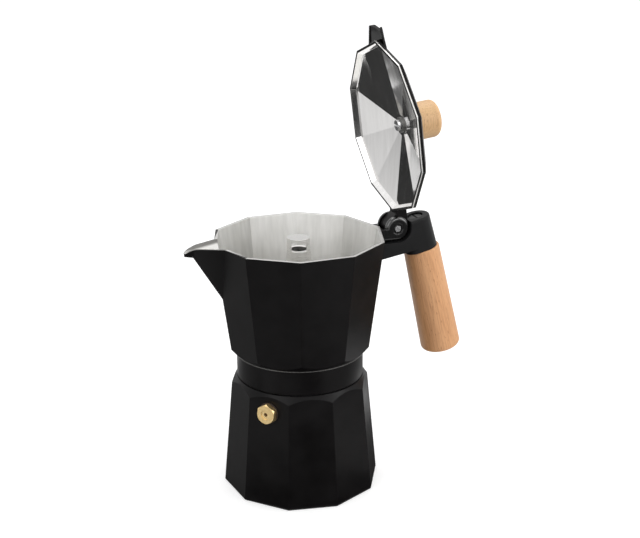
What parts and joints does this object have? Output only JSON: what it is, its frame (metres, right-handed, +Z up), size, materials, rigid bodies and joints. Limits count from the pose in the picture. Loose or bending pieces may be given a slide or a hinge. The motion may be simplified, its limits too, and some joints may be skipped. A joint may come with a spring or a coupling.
{
  "type": "moka pot",
  "caption": "Faceted stovetop moka pot with hinged lid, wooden grip and knob, poured spout, funnel, sealing ring, filter plate and sprung safety valve.",
  "frame": {"origin": "middle of the boiler's flat foot", "axes": "+Z up along the pot's axis, +X toward the handle, -X toward the spout"},
  "size_m": [0.194, 0.109, 0.3045],
  "materials": {
    "black_cast": "satin black enamel outside, bare inside",
    "bare_aluminium": "brushed",
    "dark_plastic": "matte moulded",
    "beech": "sanded and oiled",
    "brass": "turned",
    "spring_steel": "drawn wire",
    "screw_steel": "zinc plated",
    "white_rubber": "matte",
    "red_fibre": "matte"
  },
  "bodies": {
    "boiler_body": {"boiler": "black_cast", "valve_washer": "red_fibre", "valve_body": "brass", "valve_spring": "spring_steel", "valve_retainer": "brass"},
    "poppet_body": {"valve_poppet": "brass"},
    "funnel_body": {"funnel": "bare_aluminium", "funnel_plate": "bare_aluminium"},
    "seal_body": {"gasket": "white_rubber", "filter_plate": "bare_aluminium"},
    "upper_body": {"collector": "black_cast", "column": "bare_aluminium", "handle_bracket": "dark_plastic", "grip": "beech", "grip_screw": "screw_steel", "grip_washer": "screw_steel", "bracket_screw": "screw_steel", "hinge_pin": "screw_steel"},
    "lid_body": {"lid": "black_cast", "knob": "beech", "knob_screw": "screw_steel", "knob_washer": "bare_aluminium"}
  },
  "joints": [
    {"name": "valve_slide", "type": "slide", "parent": "boiler_body", "child": "poppet_body", "axis": [-0.7238, -0.6844, 0.088], "range_m": [0, 0.0012], "stiffness_N_per_m": 1000, "springref_m": -0.0025, "deforming": ["valve_spring"]},
    {"name": "lift_off", "type": "slide", "parent": "boiler_body", "child": "funnel_body", "axis": [0, 0, 1], "range_m": [0, 0.11]},
    {"name": "thread_rise", "type": "slide", "parent": "funnel_body", "child": "seal_body", "axis": [0, 0, 1], "range_m": [0, 0.009]},
    {"name": "thread_turn", "type": "hinge", "parent": "seal_body", "child": "upper_body", "pos_m": [0, 0, 0.0868], "axis": [0, 0, 1], "range_deg": [0, 1080]},
    {"name": "lid_hinge", "type": "hinge", "parent": "upper_body", "child": "lid_body", "pos_m": [0.067, 0, 0.172], "axis": [0, 1, 0], "range_deg": [-83, 0]}
  ],
  "couplings": [
    {"joint": "thread_rise", "follows": "thread_turn", "m_per_rad": 0.00047746}
  ]
}
